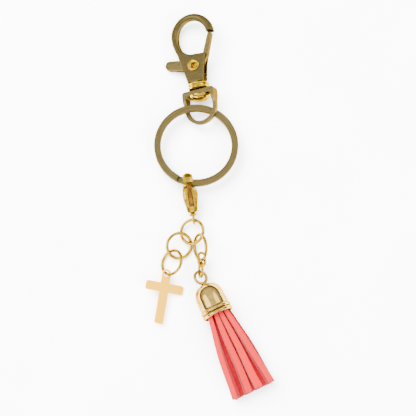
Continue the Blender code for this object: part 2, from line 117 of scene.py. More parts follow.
def stand(at, turn=0.0, roll=0.0, pitch=0.0):
    """The frame that an assembly is built in, as a matrix in metres."""
    turned = Euler((radians(pitch), radians(roll), radians(turn))).to_matrix().to_4x4()
    return Matrix.Translation((Vector(at) + PLACE) * MM) @ turned


def ring_stand(size):
    slope_x, slope_y = size["slope"]
    lean = Vector((0.0, 0.0, 1.0)).rotation_difference(Vector((-slope_x, -slope_y, 1.0)))
    return Matrix.Translation((Vector(size["at"]) + PLACE) * MM) @ lean.to_matrix().to_4x4()


HOOK = stand(POST_AT, POST_TURN, HOOK_ROLL)
LOOP = stand(POST_AT, POST_TURN, LOOP_ROLL)
KEY_RING = stand(KEY_RING_AT)
CLASP = stand((-7.0, 9.0, 4.4), 8.5, -90.0) @ Matrix.Rotation(radians(-4.7), 4, "Z")
CROSS = stand((-14.45, -23.4, 2.6), -8.2, 17.0, 2.5)
TASSEL = stand((3.65, -38.2, 5.5), 25.3, 0.0, -3.0)


# ---------------------------------------------------------------- colours and materials


def linear(colour, dim=1.0):
    """An sRGB hex colour as linear red, green and blue, dimmed by a factor."""
    parts = [int(colour[i : i + 2], 16) / 255.0 for i in (1, 3, 5)]
    return tuple(dim * (c / 12.92 if c <= 0.04045 else ((c + 0.055) / 1.055) ** 2.4) for c in parts)


def node(tree, kind, settings, links=None):
    """Adds a node: settings are its own properties or its inputs' values, links its inputs' sources."""
    made = tree.nodes.new(kind)
    for name, value in settings.items():
        if isinstance(name, str) and hasattr(made, name):
            setattr(made, name, value)
        else:
            made.inputs[name].default_value = value
    for name, source in (links or {}).items():
        tree.links.new(source, made.inputs[name])
    return made


def new_material(name, roughness, metallic, colour):
    made = bpy.data.materials.new(name)
    made.use_nodes = True
    made.diffuse_color = (*colour, 1.0)
    shader = made.node_tree.nodes["Principled BSDF"]
    shader.inputs["Roughness"].default_value = roughness
    shader.inputs["Metallic"].default_value = metallic
    shader.inputs["Base Color"].default_value = (*colour, 1.0)
    if metallic:  # the plating keeps its own colour where it is seen edge on
        shader.inputs["Specular Tint"].default_value = (*[0.9 * part**0.8 for part in colour], 1.0)
    return made, made.node_tree, shader


def own_coordinates(tree, place):
    """Object coordinates read in an assembly's own frame."""
    source = node(tree, "ShaderNodeTexCoord", {})
    settings = {"vector_type": "TEXTURE", "Location": place.translation, "Rotation": place.to_euler()}
    return node(tree, "ShaderNodeMapping", settings, {"Vector": source.outputs["Object"]}).outputs[0]


def streaks(tree, coordinates, grain, detail=4.0):
    """Noise drawn out along its longest grain, whose sizes are in millimetres."""
    stretch = Vector([1.0 / (size * MM) for size in grain])
    scaled = node(tree, "ShaderNodeVectorMath", {"operation": "MULTIPLY"}, {0: coordinates})
    scaled.inputs[1].default_value = stretch
    settings = {"Scale": 1.0, "Detail": detail, "Roughness": 0.6}
    return node(tree, "ShaderNodeTexNoise", settings, {"Vector": scaled.outputs[0]}).outputs["Fac"]


def two_tone(tree, factor, dark, light, low=0.35, high=0.65):
    ramp = node(tree, "ShaderNodeValToRGB", {}, {"Fac": factor})
    ramp.color_ramp.elements[0].position = low
    ramp.color_ramp.elements[1].position = high
    ramp.color_ramp.elements[0].color = (*dark, 1.0)
    ramp.color_ramp.elements[1].color = (*light, 1.0)
    return ramp.outputs["Color"]


def spread(tree, factor, low, high):
    made = node(tree, "ShaderNodeMapRange", {"To Min": low, "To Max": high}, {"Value": factor})
    return made.outputs["Result"]


def surface(tree, shader, colour=None, roughness=None, height=None, depth=0.00001):
    """Links a material's patterns to its shader; depth is the bump's, in metres."""
    if colour:
        tree.links.new(colour, shader.inputs["Base Color"])
    if roughness:
        tree.links.new(roughness, shader.inputs["Roughness"])
    if height:
        bump = node(tree, "ShaderNodeBump", {"Strength": 0.6, "Distance": depth}, {"Height": height})
        tree.links.new(bump.outputs["Normal"], shader.inputs["Normal"])


def brushed_plate(name, place, grain, colours, dim=1.0):
    """Gold-plated zinc alloy, brushed on a belt: hairlines that pull each highlight out sideways.
    The factor dim darkens it.
    The real lines are some 0.03 mm apart; they are drawn about 0.2 mm apart, to show."""
    light = linear(colours.brushed_gold_light, dim)
    dark = linear(colours.brushed_gold_dark, dim)
    made, tree, shader = new_material(name, 0.26, 1.0, light)
    lines = streaks(tree, own_coordinates(tree, place), grain)
    colour = two_tone(tree, lines, dark, light)
    surface(tree, shader, colour, spread(tree, lines, 0.22, 0.38), lines, 0.00001)
    return made


def turned_plate(name, place, colours):
    """Gold-plated spring steel strip, brushed along its coil: hairlines that run round the ring."""
    light = linear(colours.brushed_gold_light)
    dark = linear(colours.brushed_gold_dark)
    made, tree, shader = new_material(name, 0.3, 1.0, light)
    where = own_coordinates(tree, place)
    flat = node(tree, "ShaderNodeVectorMath", {"operation": "MULTIPLY"}, {0: where})
    flat.inputs[1].default_value = (1.0, 1.0, 0.0)
    radius = node(tree, "ShaderNodeVectorMath", {"operation": "LENGTH"}, {0: flat.outputs[0]})
    parts = node(tree, "ShaderNodeSeparateXYZ", {}, {"Vector": where})
    angle = node(
        tree, "ShaderNodeMath", {"operation": "ARCTAN2"}, {0: parts.outputs["Y"], 1: parts.outputs["X"]}
    )
    along = node(tree, "ShaderNodeMath", {"operation": "MULTIPLY", 1: 0.0025}, {0: angle.outputs[0]})
    joined = node(
        tree,
        "ShaderNodeCombineXYZ",
        {},
        {"X": radius.outputs["Value"], "Y": along.outputs[0], "Z": parts.outputs["Z"]},
    )
    lines = streaks(tree, joined.outputs[0], (0.22, 0.9, 0.3))
    colour = two_tone(tree, lines, dark, light)
    surface(tree, shader, colour, spread(tree, lines, 0.22, 0.4), lines, 0.00002)
    return made


def polished_plate(name, colours, roughness=0.14, tone="polished", dim=1.0):
    """Gold-plated brass wire and castings, barrel polished: bright, with a faint orange-peel waviness.
    The tone is polished, pale or darker, and dim darkens it."""
    light = linear(getattr(colours, tone + "_gold_light"), dim)
    dark = linear(getattr(colours, tone + "_gold_dark"), dim)
    made, tree, shader = new_material(name, roughness, 1.0, light)
    where = node(tree, "ShaderNodeTexCoord", {}).outputs["Object"]
    waves = streaks(tree, where, (1.6, 1.6, 1.6), 2.0)
    wear = spread(tree, streaks(tree, where, (0.5, 0.5, 0.5)), roughness * 0.8, roughness * 1.3)
    surface(tree, shader, two_tone(tree, waves, dark, light, 0.3, 0.7), wear, waves, 0.00002)
    return made


def satin_plate(name, place, colours):
    """Pale gold-plated brass sheet, blasted and lightly brushed: soft, with faint lines along its foot.
    The blasted skin also scatters light, so it isn't wholly metallic."""
    light, dark = linear(colours.satin_gold_light), linear(colours.satin_gold_dark)
    made, tree, shader = new_material(name, 0.48, 0.88, light)
    lines = streaks(tree, own_coordinates(tree, place), (0.25, 5.0, 0.4))
    colour = two_tone(tree, lines, dark, light)
    surface(tree, shader, colour, spread(tree, lines, 0.42, 0.56), lines, 0.00002)
    return made


def suede(name, light_hex, dark_hex):
    """Microfibre suede lace, slit and brushed: matt, with a soft sheen and fine streaks along the nap.
    The fibres are under 0.01 mm; their tufts are drawn about 0.15 mm wide, to show."""
    light, dark = linear(light_hex), linear(dark_hex)
    made, tree, shader = new_material(name, 0.92, 0.0, light)
    where = own_coordinates(tree, TASSEL)
    nap = streaks(tree, where, (0.22, 1.3, 0.22), 6.0)
    tufts = streaks(tree, where, (0.16, 0.3, 0.16), 3.0)
    colour = two_tone(tree, nap, dark, light, 0.3, 0.62)
    surface(tree, shader, colour, spread(tree, nap, 0.85, 1.0), tufts, 0.00006)
    shader.inputs["Sheen Weight"].default_value = 0.08
    shader.inputs["Sheen Roughness"].default_value = 0.5
    shader.inputs["Specular IOR Level"].default_value = 0.06
    return made


def spring_wire(name):
    """Drawn music wire, oiled: dark grey and half bright, with die lines."""
    light, dark = linear("#B9B7B0"), linear("#76746E")
    made, tree, shader = new_material(name, 0.3, 1.0, light)
    lines = streaks(tree, node(tree, "ShaderNodeTexCoord", {}).outputs["Object"], (0.1, 0.4, 0.1))
    surface(tree, shader, two_tone(tree, lines, dark, light), spread(tree, lines, 0.25, 0.45), lines)
    return made


def set_glue(name):
    """Hot-melt adhesive, set: amber, waxy and lumpy."""
    light, dark = linear("#D9C389"), linear("#B89A5C")
    made, tree, shader = new_material(name, 0.35, 0.0, light)
    lumps = streaks(tree, node(tree, "ShaderNodeTexCoord", {}).outputs["Object"], (0.9, 0.9, 0.9))
    surface(tree, shader, two_tone(tree, lumps, dark, light), spread(tree, lumps, 0.3, 0.5), lumps, 0.0001)
    return made


# ---------------------------------------------------------------- modelling helpers


def deselect():
    if bpy.context.object and bpy.context.object.mode != "OBJECT":
        bpy.ops.object.mode_set(mode="OBJECT")
    bpy.ops.object.select_all(action="DESELECT")


def take(piece):
    """Makes a piece the only selected object and the active one."""
    deselect()
    piece.select_set(True)
    bpy.context.view_layer.objects.active = piece


def start(name, primitive, **settings):
    """Adds a primitive and leaves it in edit mode, selected all over."""
    deselect()
    primitive(**settings)
    piece = bpy.context.object
    piece.name = name
    piece.data.name = name
    bpy.ops.object.mode_set(mode="EDIT")
    bpy.ops.mesh.select_all(action="SELECT")
    return piece


def close_up():
    """Merges the doubles of the mesh in edit mode, turns its faces outwards and leaves edit mode."""
    bpy.ops.mesh.select_all(action="SELECT")
    bpy.ops.mesh.remove_doubles(threshold=0.002 * MM)
    bpy.ops.mesh.normals_make_consistent(inside=False)
    bpy.ops.object.mode_set(mode="OBJECT")


def settle(piece, place):
    """Puts a piece that was modelled at the origin in its place, and applies it."""
    take(piece)
    piece.matrix_world = place @ piece.matrix_world
    bpy.ops.object.transform_apply(location=True, rotation=True, scale=True)


def apply(piece, kind, **settings):
    take(piece)
    step = piece.modifiers.new(kind.lower(), kind)
    for name, value in settings.items():
        setattr(step, name, value)
    bpy.ops.object.modifier_apply(modifier=step.name)


def combine(piece, tool, operation):
    apply(piece, "BOOLEAN", object=tool, operation=operation, solver="EXACT")
    bpy.data.objects.remove(tool, do_unlink=True)


def smooth(piece, angle=35.0, weighted=False):
    take(piece)
    bpy.ops.object.shade_smooth_by_angle(angle=radians(angle))
    if weighted:
        apply(piece, "WEIGHTED_NORMAL", keep_sharp=True, weight=60)


def turned(name, profile, sides=64):
    """A turned piece on z: one circle, extruded and resized along a closed profile of (radius, height)."""
    radius, height = profile[0]
    add = bpy.ops.mesh.primitive_circle_add
    piece = start(name, add, vertices=sides, radius=radius * MM, location=(0, 0, height * MM))
    for (radius, height), (next_radius, next_height) in zip(profile, profile[1:] + profile[:1]):
        rise = (0.0, 0.0, (next_height - height) * MM)
        bpy.ops.mesh.extrude_region_move(TRANSFORM_OT_translate={"value": rise})
        grow = next_radius / radius
        bpy.ops.transform.resize(value=(grow, grow, 1.0), center_override=(0.0, 0.0, next_height * MM))
    close_up()
    return piece


def cut_across(piece, along, cuts):
    """Cuts the long edges of a bar one unit long into stations, and leaves edit mode."""
    bpy.ops.mesh.select_mode(type="EDGE")
    bpy.ops.mesh.select_all(action="DESELECT")
    shape = bmesh.from_edit_mesh(piece.data)
    for side in shape.edges:
        side.select_set(abs(side.verts[0].co[along] - side.verts[1].co[along]) > 0.5)
    bmesh.update_edit_mesh(piece.data)
    bpy.ops.mesh.subdivide(number_cuts=cuts)
    bpy.ops.object.mode_set(mode="OBJECT")


def plate(name, outline, half, edge, segments=3):
    """A flat outline, filled, extruded to both sides of its plane and bevelled round its rims."""
    piece = start(name, bpy.ops.mesh.primitive_circle_add, vertices=len(outline), fill_type="NGON")
    shape = bmesh.from_edit_mesh(piece.data)
    for corner, (x, y) in zip(shape.verts, outline):
        corner.co = (x * MM, y * MM, -half * MM)
    bmesh.update_edit_mesh(piece.data)
    bpy.ops.mesh.extrude_region_move(TRANSFORM_OT_translate={"value": (0.0, 0.0, 2.0 * half * MM)})
    close_up()
    bpy.ops.object.mode_set(mode="EDIT")
    bpy.ops.mesh.select_all(action="DESELECT")
    bpy.ops.mesh.select_mode(type="EDGE")
    shape = bmesh.from_edit_mesh(piece.data)
    for rim in shape.edges:
        rim.select_set(abs(rim.verts[0].co.z - rim.verts[1].co.z) < 0.01 * MM)
    bmesh.update_edit_mesh(piece.data)
    if edge:
        bpy.ops.mesh.bevel(offset=edge * MM, segments=segments, affect="EDGES", clamp_overlap=True)
    close_up()
    return piece


def fine_copy(name, rounding, segments=2):
    """A copy of a CAD node, merged, with its flat faces made whole and its edges rounded."""
    source = frame["nodes"][name]
    mesh = source.data.copy()
    mesh.transform(source.matrix_world)
    mesh.materials.clear()
    piece = bpy.data.objects.new("fine_" + name, mesh)
    bpy.context.scene.collection.objects.link(piece)
    take(piece)
    bpy.ops.object.mode_set(mode="EDIT")
    bpy.ops.mesh.select_all(action="SELECT")
    bpy.ops.mesh.customdata_custom_splitnormals_clear()
    bpy.ops.mesh.remove_doubles(threshold=0.003 * MM)
    bpy.ops.mesh.dissolve_limited(angle_limit=radians(0.6))
    bpy.ops.object.mode_set(mode="OBJECT")
    if rounding:
        settings = {"width": rounding * MM, "segments": segments, "limit_method": "ANGLE"}
        apply(piece, "BEVEL", angle_limit=radians(32.0), use_clamp_overlap=True, **settings)
    return piece


def hand_over(piece, material, body, slot, *nodes):
    """Gives a finished piece its material and its body, and hides the CAD nodes that it stands for; the
    slot is not used.
    """
    if material:
        piece.data.materials.clear()
        piece.data.materials.append(material)
    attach(piece, body)
    if nodes:
        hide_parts(*nodes)


def dress(name, material):
    """A CAD node that stays gets a material in its own slots."""
    for place in frame["nodes"][name].material_slots:
        place.material = material


def arc(centre, radii, begin, end, steps):
    """Points of an ellipse, from one angle to another, both included."""
    angles = [radians(begin + (end - begin) * i / steps) for i in range(steps + 1)]
    return [(centre[0] + radii[0] * cos(a), centre[1] + radii[1] * sin(a)) for a in angles]


# ---------------------------------------------------------------- settings


def length(name, description, default):
    return bpy.props.FloatProperty(
        name=name, description=description, default=default * MM, min=0.0, unit="LENGTH", precision=5
    )


def hex_colour(name, description, default):
    return bpy.props.StringProperty(name=name, description=description, default=default)


class CharmSizes(bpy.types.PropertyGroup):
    """Sizes that can be changed without moving a joint."""

    ring_wire: length("Ring wire", "Radius of the jump rings' wire", 0.57)
    link_wire: length("Link wire", "Radius of the chain links' wire", 0.5)
    eye_wire: length("Eye wire", "Radius of the wire of the cap's eye", 0.55)
    eye_radius: length("Eye", "Radius of the cap's eye, to the wire's centre", 2.2)
    cap_rim: length("Cap rim", "Radius of the beads at the cap's mouth", 5.45)
    cap_wall: length("Cap body", "Radius of the cap above its beads", 5.0)
    strand_length: length("Strands", "Length of the strands below the cap", 28.1)
    edge_round: length("Edge rounding", "Rounding of the stamped and cast edges", 0.09)


class CharmColours(bpy.types.PropertyGroup):
    """Colours, as sRGB hex."""

    brushed_gold_light: hex_colour("Brushed gold", "Bright hairlines of the hook, loop and ring", "#796A41")
    brushed_gold_dark: hex_colour("Brushed gold, deep", "Dark hairlines of the same", "#645630")
    polished_gold_light: hex_colour("Polished gold", "Jump rings, links and clasp", "#E2C032")
    polished_gold_dark: hex_colour("Polished gold, deep", "The same, in its hollows", "#AE841A")
    # A darker, browner gold, given all over the clasp's lever.
    darker_gold_light: hex_colour("Worn gold", "The clasp's lever, where the plating is thin", "#94662C")
    darker_gold_dark: hex_colour("Worn gold, deep", "The same, in its hollows", "#5E3A14")
    pale_gold_light: hex_colour("Cap gold", "The tassel's cap and its eye", "#E2BE68")
    pale_gold_dark: hex_colour("Cap gold, deep", "The same, in its hollows", "#C29A44")
    satin_gold_light: hex_colour("Satin gold", "The cross", "#FFC620")
    satin_gold_dark: hex_colour("Satin gold, deep", "The cross's brushed lines", "#FFBA18")
    suede_face_light: hex_colour("Suede face", "The brushed faces of the strands", "#901918")
    suede_face_dark: hex_colour("Suede face, deep", "The lie of the nap", "#7E1110")
    # The suede edge colours are painted shade: a darker, redder copy of the same lace, for the strands'
    # sides and cut ends and for the whole middle row.
    suede_painted_shade_light: hex_colour("Suede edge", "The slit edges of the strands", "#74000A")
    suede_painted_shade_dark: hex_colour("Suede edge, deep", "The same, in its hollows", "#580006")


# ---------------------------------------------------------------- operators


class OBJECT_OT_charm_hook(bpy.types.Operator):
    """The trigger hook: body, gate lever with its thumb tab, hollow rivet and spring."""

    bl_idname = "object.charm_hook"
    bl_label = "Trigger hook"

    def execute(self, context):
        sizes, colours = context.scene.charm_sizes, context.scene.charm_colours
        rounding = sizes.edge_round / MM
        brushed = brushed_plate("hook_brushed_gold_on_zinc", HOOK, (2.6, 0.2, 0.3), colours, 0.64)
        body = self.body()
        smooth(body, 40.0, weighted=True)
        hand_over(body, brushed, "hook", "brushed", "hook_body")

        gate = fine_copy("hook_gate", 0.0)
        pocket = plate("pocket", self.tab_outline(0.62), 0.35, 0.0)
        settle(pocket, HOOK @ Matrix.Translation((0.0, 0.0, 1.17 * MM)))
        combine(gate, pocket, "DIFFERENCE")
        ridge = plate("ridge", self.tab_outline(1.3), 0.3, 0.12)
        settle(ridge, HOOK @ Matrix.Translation((0.0, 0.0, 0.72 * MM)))
        combine(gate, ridge, "UNION")
        settings = {"width": 1.3 * rounding * MM, "segments": 3, "limit_method": "ANGLE"}
        apply(gate, "BEVEL", angle_limit=radians(35.0), use_clamp_overlap=True, **settings)
        smooth(gate, 40.0, weighted=True)
        brighter = brushed_plate("gate_brushed_gold_on_zinc", HOOK, (2.6, 0.2, 0.3), colours, 1.05)
        hand_over(gate, brighter, "gate", "brushed", "hook_gate")

        polished = polished_plate("rivet_polished_gold_on_brass", colours, dim=0.8)
        rivet = turned("fine_pivot_rivet", self.rivet_profile())
        settle(rivet, HOOK @ Matrix.Translation(Vector(RIVET_AT) * MM))
        smooth(rivet, 40.0)
        hand_over(rivet, polished, "hook", "polished", "pivot_rivet")
        dress("gate_spring", spring_wire("gate_spring_music_wire"))
        return {"FINISHED"}

    def body(self):
        """A claw with well rounded edges, joined to a thicker base, then slotted and drilled."""
        outer = arc((-0.17, 18.2), (8.07, 8.3), 1.8, 187, 56)
        outer += [(-8.0, 15.6), (-7.55, 14.0), (-6.9, 12.2), (-5.7, 10.2)]
        inner = arc((-0.3, 17.3), (5.5, 6.75), 12.8, 187, 56)
        inner += arc((-0.3, 17.3), (5.5, 6.75), 199, 238, 3)
        made = self.claw(outer, inner)
        base = [(-3.3, 0.0), (2.55, 0.0), (3.5, 7.0), (4.3, 9.6), (4.1, 10.45)]
        base += arc((-0.3, 17.3), (5.5, 6.75), 277, 226, 12) + [(-6.7, 12.9), (-6.2, 11.2)]
        combine(made, plate("base", base, 2.5, 0.5, 4), "UNION")
        slot = [(-13, 3.9), (-3.4, 3.9), (-2.2, 3.3), (9, 3.3), (9, 13.5), (-4.2, 13.5), (-4.2, 12.2)]
        slot += [(-5.2, 11.3), (-13, 11.0)]
        combine(made, plate("slot", slot, 1.3, 0.0), "DIFFERENCE")
        holes = (
            ("rivet_hole", 1.65, -4.0, 4.0, RIVET_AT, None),
            ("pocket", 2.6, -2.3, -1.1, RIVET_AT, None),
            ("post_hole", 1.4, -2.0, 2.0, (0, 0, 0), "y"),
            ("post_room", 2.1, 1.3, 3.9, (0, 0, 0), "y"),
        )
        for name, radius, low, high, at, along in holes:
            tool = turned(name, [(0.01, low), (radius, low), (radius, high), (0.01, high)], 40)
            settle(tool, Matrix.Translation(Vector(at) * MM) @ (TURNED_TO_Y if along else Matrix()))
            combine(made, tool, "DIFFERENCE")
        settle(made, HOOK)
        return made

    def claw(self, outer, inner, sides=32):
        """A round-edged bar drawn through pairs of points; it thickens where it runs into the base."""
        last = len(outer) - 1
        squareness, swell_from = 0.85, 0.72
        add = bpy.ops.mesh.primitive_cylinder_add
        piece = start("fine_hook_body", add, vertices=sides, radius=1.0, depth=1.0)
        cut_across(piece, 2, last - 1)
        for corner in piece.data.vertices:
            x, y, z = corner.co
            station = round((0.5 - z) * last)
            turn = atan2(y, x)
            across = copysign(abs(cos(turn)) ** squareness, cos(turn))
            through = copysign(abs(sin(turn)) ** squareness, sin(turn))
            edge, far = Vector(outer[station]), Vector(inner[station])
            flat = (edge + far) / 2.0 + (edge - far) / 2.0 * across
            half = 1.75 + 0.6 * max(0.0, station / last - swell_from) / (1.0 - swell_from)
            corner.co = Vector((flat.x, flat.y, half * through)) * MM
        bpy.ops.object.mode_set(mode="EDIT")
        close_up()
        return piece

    def tab_outline(self, inset):
        """A slot with round ends along the thumb tab, inset from the tab's own outline."""
        half, middle = 1.72 - inset, 8.3
        outer_end = arc((-9.85, middle), (half, half), 90, 270, 14)
        return outer_end + arc((-6.9, middle), (half, half), 270, 450, 14)

    def rivet_profile(self):
        """The web half way down the bore, rolled head, shank and rolled head, from the inside out."""
        bore, head, shank, face = 1.0, 2.15, 1.5, 2.62
        upper = [(head - 0.55 + 0.55 * sin(a), face + 0.02 + 0.42 * cos(a)) for a in self.quarter()]
        lower = [(radius, -height) for radius, height in reversed(upper)]
        lip = [(bore + 0.25, face + 0.36), (bore + 0.5, face + 0.44)]
        web = [(0.01, -1.4), (0.01, 1.4), (0.75, 1.4), (bore, 1.7)]
        return (
            web
            + [(bore, face + 0.2)]
            + lip
            + upper
            + [(shank, face), (shank, -face)]
            + lower
            + [(radius, -height) for radius, height in reversed(lip)]
            + [(bore, -face - 0.2), (bore, -1.7), (0.75, -1.4)]
        )

    def quarter(self):
        return [pi / 2.0 * i / 6 for i in range(7)]


class OBJECT_OT_charm_swivel(bpy.types.Operator):
    """The swivel: D-shaped loop, grooved collar and domed post."""

    bl_idname = "object.charm_swivel"
    bl_label = "Swivel and loop"

    def execute(self, context):
        sizes, colours = context.scene.charm_sizes, context.scene.charm_colours
        brushed = brushed_plate("loop_brushed_gold_on_zinc", LOOP, (3.0, 0.2, 0.3), colours)
        loop = fine_copy("d_loop", sizes.edge_round / MM)
        smooth(loop, 40.0, weighted=True)
        hand_over(loop, brushed, "loop", "brushed", "d_loop")

        polished = polished_plate("swivel_polished_gold_on_zinc", colours, 0.16, dim=0.78)
        collar = turned("fine_swivel_collar", self.collar_profile(), 72)
        settle(collar, LOOP @ TURNED_TO_Y)
        smooth(collar, 40.0)
        hand_over(collar, polished, "loop", "brushed", "swivel_collar")
        post = turned("fine_swivel_post", self.post_profile(), 72)
        settle(post, LOOP @ TURNED_TO_Y)
        smooth(post, 35.0)
        hand_over(post, polished, "loop", "polished", "swivel_post")
        return {"FINISHED"}

    def collar_profile(self):
        """A ring with a rounded bead, a groove and a second bead."""
        inner, outer, groove = 1.4, 3.8, 3.35
        profile = [(inner, -0.2)]
        for top, low in ((-0.2, -1.05), (-1.55, -2.4)):
            middle, half = (top + low) / 2.0, (top - low) / 2.0
            for i in range(9):
                angle = pi * i / 8
                profile.append((groove + (outer - groove) * sin(angle), middle + half * cos(angle)))
        return profile + [(inner, -2.4)]

    def post_profile(self):
        """A flat head inside the hook, a shank, and a domed head inside the loop's bar."""
        low = -4.65
        profile = [(0.01, 2.5), (1.7, 2.5), (1.9, 2.35), (1.9, 1.6), (1.2, 1.6), (1.2, low), (3.6, low)]
        dome = [(3.8 * cos(a), low - 0.15 - 1.9 * sin(a)) for a in [pi / 2.0 * i / 12 for i in range(12)]]
        return profile + dome + [(0.01, low - 2.05)]


class OBJECT_OT_charm_key_ring(bpy.types.Operator):
    """The flat split ring."""

    bl_idname = "object.charm_key_ring"
    bl_label = "Key ring"

    def execute(self, context):
        sizes, colours = context.scene.charm_sizes, context.scene.charm_colours
        ring = fine_copy("split_ring", sizes.edge_round / MM, 3)
        smooth(ring, 38.0, weighted=True)
        material = turned_plate("key_ring_brushed_gold_on_spring_steel", KEY_RING, colours)
        hand_over(ring, material, "key_ring", "brushed", "split_ring")
        return {"FINISHED"}


class OBJECT_OT_charm_clasp(bpy.types.Operator):
    """The lobster clasp, with its two neck beads, lever, pin and spring."""

    bl_idname = "object.charm_clasp"
    bl_label = "Lobster clasp"

    def execute(self, context):
        colours = context.scene.charm_colours
        polished = polished_plate("clasp_polished_gold_on_brass", colours, 0.2, dim=0.75)
        body = fine_copy("clasp_body", 0.0)
        for below in (10.75, 11.7):
            bead = turned("bead", self.bead_profile(), 40)
            settle(bead, CLASP @ Matrix.Translation((0.0, -below * MM, 0.0)) @ TURNED_TO_Y)
            combine(body, bead, "UNION")
        self.cast(body)
        smooth(body, 70.0)
        hand_over(body, polished, "clasp", "polished", "clasp_body")
        lever = fine_copy("clasp_lever", 0.06)
        smooth(lever, 40.0, weighted=True)
        # The lever takes a darker, browner gold than the clasp body, all over.
        darker = polished_plate("lever_darker_gold_on_brass", colours, 0.25, "darker")
        hand_over(lever, darker, "clasp_lever", "polished", "clasp_lever")
        dress("clasp_pin", polished_plate("clasp_pin_gold_on_steel", colours, 0.3))
        dress("clasp_spring", spring_wire("clasp_spring_music_wire"))
        return {"FINISHED"}

    def cast(self, body):
        """Rounds the body off like a casting: its rims thin out, its crown narrows to a round top,
        and its cheeks swell round the lever."""
        body.data.transform(CLASP.inverted())
        apply(body, "REMESH", mode="VOXEL", voxel_size=0.11 * MM)
        apply(body, "SMOOTH", factor=0.5, iterations=6)
        inner, outer, middle, reach, swell = 0.85, 1.7, -4.9, 3.6, 0.95
        thin_from, thin_over, thin_by = 0.3, 1.4, 0.4
        crown, crown_radius, narrowest = 1.8, 1.85, 0.3
        top = max(corner.co.y for corner in body.data.vertices) / MM
        facing = [corner.normal.copy() for corner in body.data.vertices]
        for corner, normal in zip(body.data.vertices, facing):
            x, y, z = corner.co / MM
            tuck = thin_by * min(1.2, max(0.0, (abs(z) - thin_from) / thin_over)) ** 2
            x, y = x - tuck * normal.x, y - tuck * normal.y
            z *= max(narrowest, 1.0 - (max(0.0, y - top + crown) / crown_radius) ** 2) ** 0.5
            corner.co = Vector((x, y, z)) * MM
            out = (abs(z) - inner) / (outer - inner)
            if out > 0.0:
                z += copysign(swell * out * exp(-(((y - middle) / reach) ** 2)), z)
                corner.co = Vector((x, y, z)) * MM
        body.data.transform(CLASP)

    def bead_profile(self):
        middle, reach, rise = 0.7, 0.95, 0.36
        turns = [2.0 * pi * i / 16 for i in range(16)]
        return [(middle + reach * cos(a), rise * sin(a)) for a in turns]


class OBJECT_OT_charm_rings(bpy.types.Operator):
    """The four jump rings, each opened by a saw cut."""

    bl_idname = "object.charm_rings"
    bl_label = "Jump rings"

    def execute(self, context):
        sizes, colours = context.scene.charm_sizes, context.scene.charm_colours
        polished = polished_plate("ring_polished_gold_on_brass_wire", colours, 0.15, dim=0.78)
        for name, size in JUMP_RINGS.items():
            piece = start(
                "fine_" + name,
                bpy.ops.mesh.primitive_torus_add,
                major_radius=size["radius"] * MM,
                minor_radius=sizes.ring_wire,
                major_segments=160,
                minor_segments=24,
            )
            self.saw(piece)
            settle(piece, ring_stand(size))
            smooth(piece, 50.0)
            hand_over(piece, polished, name, "polished", name)
        return {"FINISHED"}

    def saw(self, piece, at=35.0, half=1.2):
        """Opens the ring at an angle and closes both ends of its wire."""
        bpy.ops.mesh.select_mode(type="FACE")
        bpy.ops.mesh.select_all(action="DESELECT")
        shape = bmesh.from_edit_mesh(piece.data)
        across = Vector((-sin(radians(at)), cos(radians(at)), 0.0))
        along = Vector((cos(radians(at)), sin(radians(at)), 0.0))
        for face in shape.faces:
            middle = face.calc_center_median()
            near = abs(middle.dot(across)) < sin(radians(half)) * middle.length
            face.select_set(near and middle.dot(along) > 0.0)
        bmesh.update_edit_mesh(piece.data)
        bpy.ops.mesh.delete(type="FACE")
        bpy.ops.mesh.select_all(action="SELECT")
        bpy.ops.mesh.fill_holes(sides=0)
        close_up()


class OBJECT_OT_charm_links(bpy.types.Operator):
    """The two soldered oval links between the tassel's ring and its eye."""

    bl_idname = "object.charm_links"
    bl_label = "Chain links"

    def execute(self, context):
        sizes, colours = context.scene.charm_sizes, context.scene.charm_colours
        polished = polished_plate("link_polished_gold_on_brass_wire", colours, 0.18, dim=0.78)
        for name, size in LINKS.items():
            piece = start(
                "fine_" + name,
                bpy.ops.mesh.primitive_torus_add,
                major_radius=LINK_BEND * MM,
                minor_radius=sizes.link_wire,
                major_segments=64,
                minor_segments=20,
            )
            reach = (size["half_length"] - LINK_BEND) * MM
            bpy.ops.mesh.select_mode(type="VERT")
            for side in (1.0, -1.0):
                bpy.ops.mesh.select_all(action="DESELECT")
                shape = bmesh.from_edit_mesh(piece.data)
                for corner in shape.verts:
                    corner.select_set(corner.co.y * side > 0.001 * MM and abs(corner.co.y) < 2.0 * MM)
                shape.select_flush(True)
                bmesh.update_edit_mesh(piece.data)
                bpy.ops.transform.translate(value=(0.0, side * reach, 0.0))
            close_up()
            settle(piece, stand(size["at"], roll=size["roll"]))
            smooth(piece, 60.0)
            hand_over(piece, polished, size["body"], "polished", name)
        return {"FINISHED"}


class OBJECT_OT_charm_cross(bpy.types.Operator):
    """The stamped cross."""

    bl_idname = "object.charm_cross"
    bl_label = "Cross"

    def execute(self, context):
        sizes, colours = context.scene.charm_sizes, context.scene.charm_colours
        cross = fine_copy("cross_charm", sizes.edge_round / MM, 3)
        smooth(cross, 40.0, weighted=True)
        satin = satin_plate("cross_satin_gold_on_brass", CROSS, colours)
        hand_over(cross, satin, "cross", "pale", "cross_charm")
        return {"FINISHED"}


